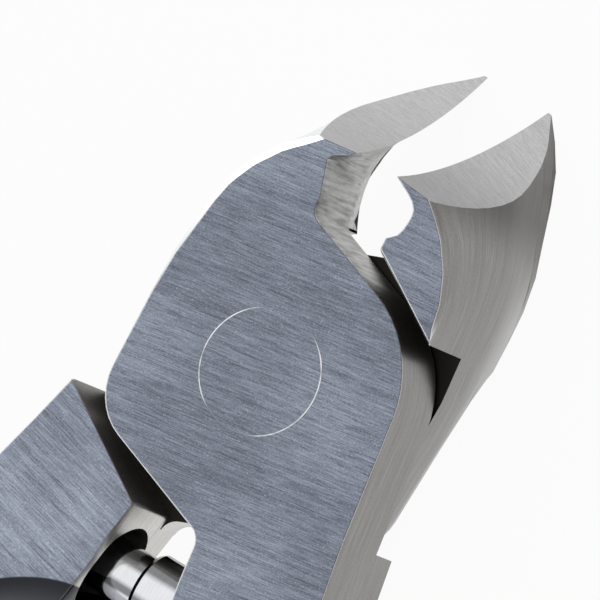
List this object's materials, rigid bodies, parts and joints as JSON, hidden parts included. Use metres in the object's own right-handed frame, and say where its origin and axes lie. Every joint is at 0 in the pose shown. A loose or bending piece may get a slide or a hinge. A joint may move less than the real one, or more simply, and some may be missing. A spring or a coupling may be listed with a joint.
{
  "type": "nail nipper",
  "caption": "Lap-joint nail nipper with hollow-ground jaws, flush pivot rivet, two bowed steel handles and a telescopic opening spring between them.",
  "frame": {"origin": "on the pivot axis, at the flat back end of the rivet in the joint's back plane", "axes": "+Y along the tool towards the jaws, +Z along the pivot axis out of the front face, +X to the right seen from the front"},
  "size_m": [0.0455, 0.1134, 0.0097],
  "materials": {
    "half_steel": "brushed faces, polished handles",
    "rivet_steel": "ground flush with the joint",
    "cartridge_chrome": "polished",
    "spring_wire": "drawn wire"
  },
  "bodies": {
    "front_half": {"front_half": "half_steel", "pivot_rivet": "rivet_steel"},
    "rear_half": {"rear_half": "half_steel"},
    "barrel": {"spring_barrel": "cartridge_chrome", "coil_spring": "spring_wire"},
    "plunger": {"spring_plunger": "cartridge_chrome"}
  },
  "joints": [
    {"name": "pivot", "type": "hinge", "parent": "front_half", "child": "rear_half", "pos_m": [0, 0, 0.0039], "axis": [0, 0, 1], "range_deg": [0, 11.5], "stiffness_Nm_per_rad": 0.6, "springref_deg": -11.46},
    {"name": "barrel_swing", "type": "hinge", "parent": "front_half", "child": "barrel", "pos_m": [0.00408, -0.00993, 0.0053], "axis": [0, 0, 1], "range_deg": [0, 6.5]},
    {"name": "plunger_slide", "type": "slide", "parent": "barrel", "child": "plunger", "axis": [1, -0.0098, 0], "range_m": [0, 0.0021], "deforming": ["coil_spring"]}
  ],
  "couplings": [
    {"joint": "barrel_swing", "follows": "pivot", "ratio": 0.5443},
    {"joint": "plunger_slide", "follows": "pivot", "m_per_rad": 0.01005}
  ]
}
